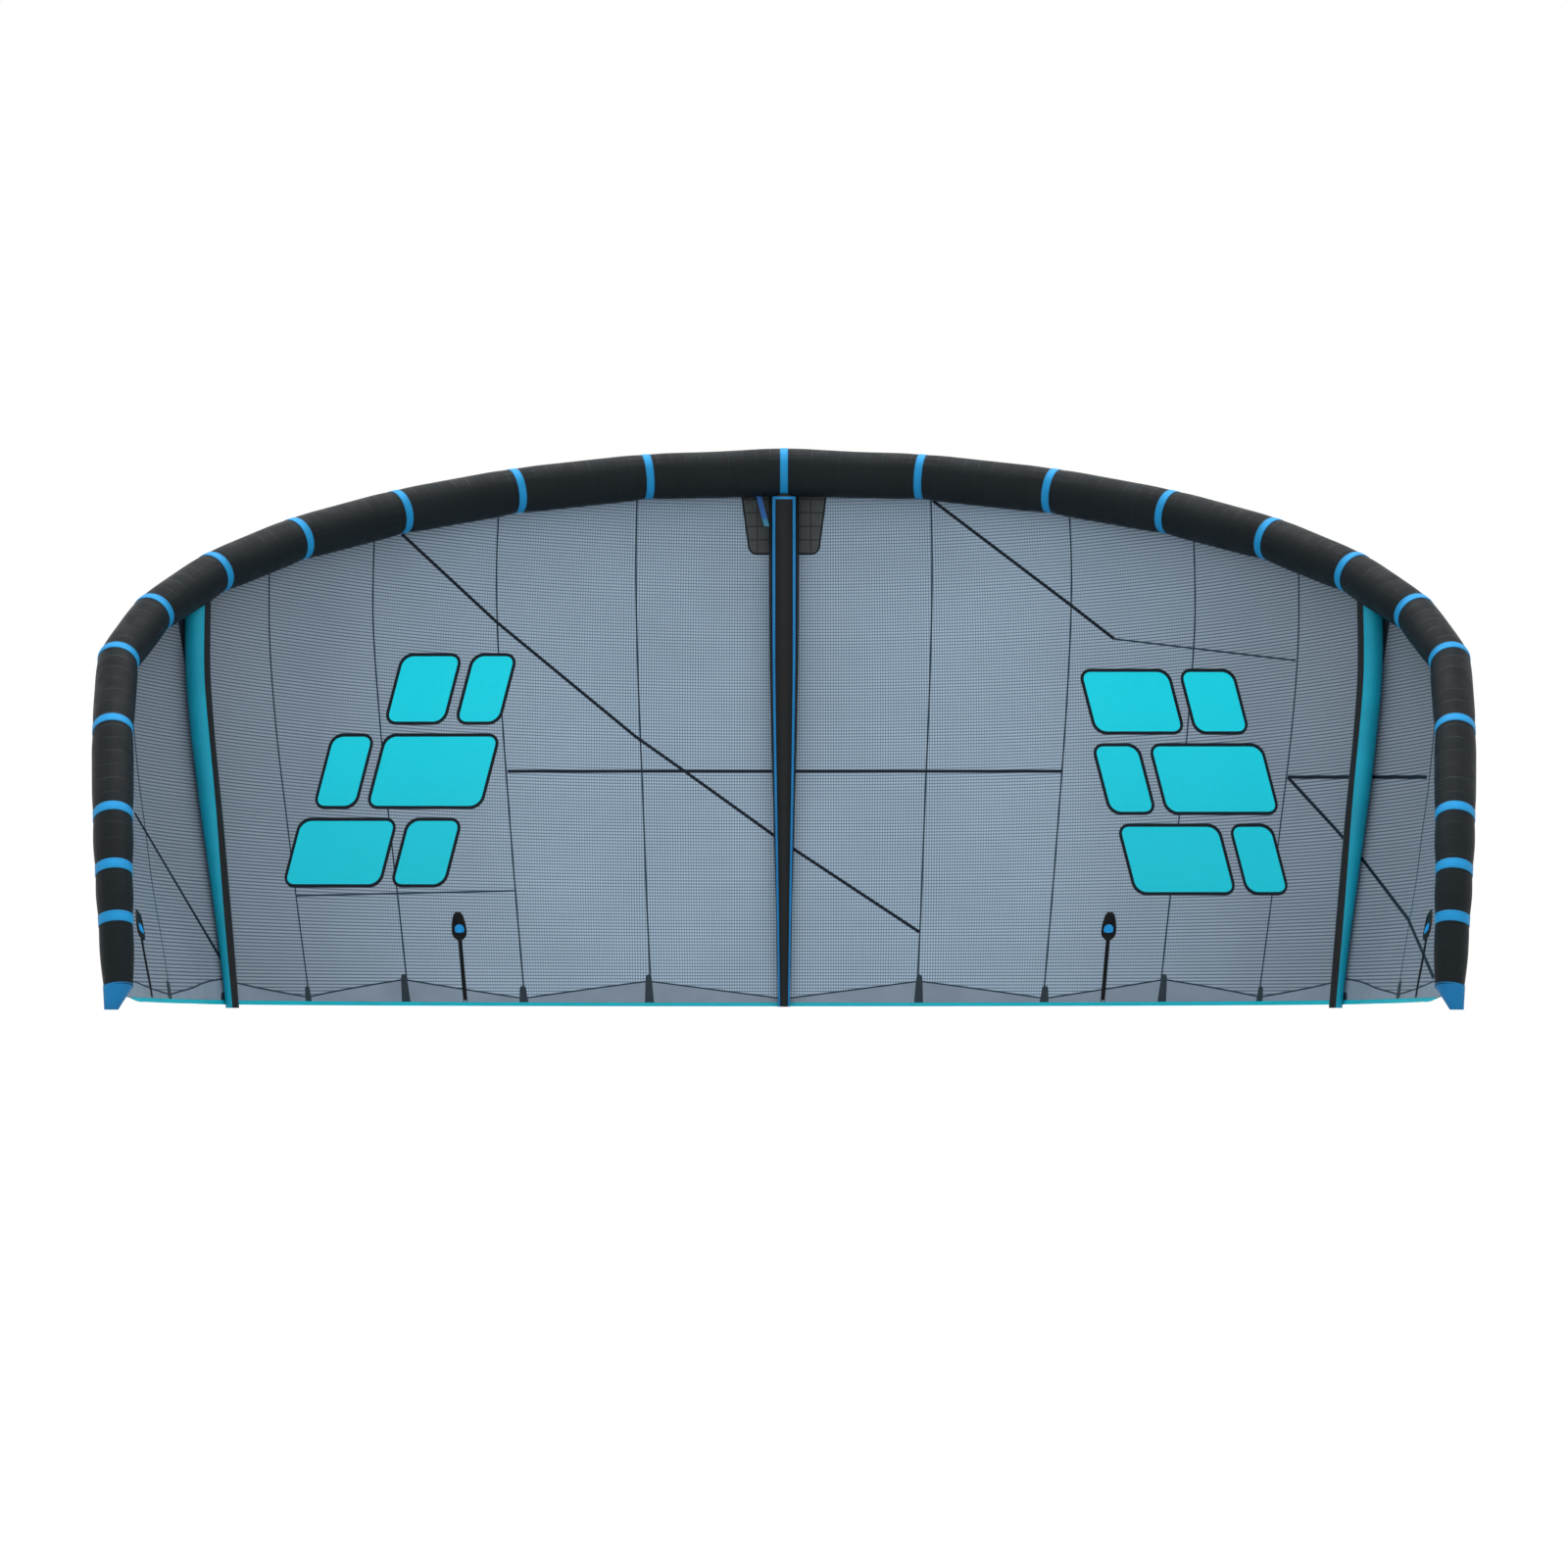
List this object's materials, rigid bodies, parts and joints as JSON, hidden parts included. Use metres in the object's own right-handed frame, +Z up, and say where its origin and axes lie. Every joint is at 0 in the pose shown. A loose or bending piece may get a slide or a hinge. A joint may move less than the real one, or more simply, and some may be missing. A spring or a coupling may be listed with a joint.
{
  "type": "kitesurfing kite",
  "caption": "Inflatable kitesurfing kite: an arched air tube with struts holds a ripstop canopy, with trailing edge battens and an inflation valve.",
  "frame": {"origin": "on the floor, under the middle of the kite's bounding box, with the kite standing on its strut ends and wing tips", "axes": "+X to the viewer's right along the span, +Y away from the pilot towards the canopy's convex side, +Z up towards the leading edge"},
  "size_m": [3.8002, 2.1282, 1.8658],
  "materials": {
    "leading_edge_cloth": "calendered polyester sail cloth, charcoal",
    "seam_tape": "blue polyester tape",
    "tip_cloth": "blue coated polyester, darker than the tapes",
    "canopy_cloth": "grey ripstop canopy cloth with a square grid",
    "middle_strut_cloth": "black polyester sail cloth with two blue stripes",
    "side_strut_cloth": "teal polyester sail cloth",
    "patch_cloth": "dark reinforcement laminate with a fine black grid",
    "edge_tape": "cyan folded binding",
    "bladder_film": "translucent polyurethane film",
    "batten_plastic": "black glass fibre strip",
    "cap_plastic": "soft moulded cap, black with a blue inset",
    "valve_plastic": "moulded polyurethane",
    "stopper_plastic": "blue moulded stopper",
    "tab_webbing": "blue woven webbing"
  },
  "bodies": {
    "wing": {"leading_edge_sleeve_left": "leading_edge_cloth", "leading_edge_sleeve_right": "leading_edge_cloth", "leading_edge_bladder": "bladder_film", "tip_cover_left": "tip_cloth", "tip_cover_right": "tip_cloth", "seam_band_centre": "seam_tape", "seam_band_left_01": "seam_tape", "seam_band_left_02": "seam_tape", "seam_band_left_03": "seam_tape", "seam_band_left_04": "seam_tape", "seam_band_left_05": "seam_tape", "seam_band_left_06": "seam_tape", "seam_band_left_07": "seam_tape", "seam_band_left_08": "seam_tape", "seam_band_left_09": "seam_tape", "seam_band_left_10": "seam_tape", "seam_band_left_11": "seam_tape", "seam_band_right_01": "seam_tape", "seam_band_right_02": "seam_tape", "seam_band_right_03": "seam_tape", "seam_band_right_04": "seam_tape", "seam_band_right_05": "seam_tape", "seam_band_right_06": "seam_tape", "seam_band_right_07": "seam_tape", "seam_band_right_08": "seam_tape", "seam_band_right_09": "seam_tape", "seam_band_right_10": "seam_tape", "seam_band_right_11": "seam_tape", "strut_sleeve_centre": "middle_strut_cloth", "strut_sleeve_left": "side_strut_cloth", "strut_sleeve_right": "side_strut_cloth", "strut_bladder_centre": "bladder_film", "strut_bladder_left": "bladder_film", "strut_bladder_right": "bladder_film", "canopy_left_1": "canopy_cloth", "canopy_left_2": "canopy_cloth", "canopy_left_3": "canopy_cloth", "canopy_left_4": "canopy_cloth", "canopy_left_5": "canopy_cloth", "canopy_left_tip": "canopy_cloth", "canopy_right_1": "canopy_cloth", "canopy_right_2": "canopy_cloth", "canopy_right_3": "canopy_cloth", "canopy_right_4": "canopy_cloth", "canopy_right_5": "canopy_cloth", "canopy_right_tip": "canopy_cloth", "trailing_edge_binding": "edge_tape", "centre_patch": "patch_cloth", "batten_cap_left": "cap_plastic", "batten_cap_right": "cap_plastic", "batten_cap_tip_left": "cap_plastic", "batten_cap_tip_right": "cap_plastic", "valve_seat": "valve_plastic"},
    "plug": {"valve_plug": "valve_plastic"},
    "stopper": {"valve_stopper": "stopper_plastic"},
    "leash_tab": {"pump_leash_tab": "tab_webbing"},
    "left_batten": {"batten_left": "batten_plastic"},
    "right_batten": {"batten_right": "batten_plastic"},
    "left_tip_batten": {"batten_tip_left": "batten_plastic"},
    "right_tip_batten": {"batten_tip_right": "batten_plastic"}
  },
  "joints": [
    {"name": "plug_turn", "type": "hinge", "parent": "wing", "child": "plug", "pos_m": [-0.10964, 0.9757, 1.72346], "axis": [-0.0276, 0.5597, -0.8282], "range_deg": [0, 45]},
    {"name": "stopper_flip", "type": "hinge", "parent": "plug", "child": "stopper", "pos_m": [-0.10826, 0.97195, 1.70422], "axis": [-0.9917, -0.1193, -0.0476], "range_deg": [0, 150]},
    {"name": "leash_tab_swing", "type": "hinge", "parent": "wing", "child": "leash_tab", "pos_m": [-0.08471, 0.93808, 1.70886], "axis": [0.9918, 0.1178, 0.0488], "range_deg": [-60, 30]},
    {"name": "left_batten_slide", "type": "slide", "parent": "wing", "child": "left_batten", "axis": [0.1052, -0.1045, -0.9889], "range_m": [0, 0.005]},
    {"name": "right_batten_slide", "type": "slide", "parent": "wing", "child": "right_batten", "axis": [-0.1052, -0.1045, -0.9889], "range_m": [0, 0.005]},
    {"name": "left_tip_batten_slide", "type": "slide", "parent": "wing", "child": "left_tip_batten", "axis": [0.2464, -0.4518, -0.8574], "range_m": [0, 0.005]},
    {"name": "right_tip_batten_slide", "type": "slide", "parent": "wing", "child": "right_tip_batten", "axis": [-0.2464, -0.4518, -0.8574], "range_m": [0, 0.005]}
  ]
}
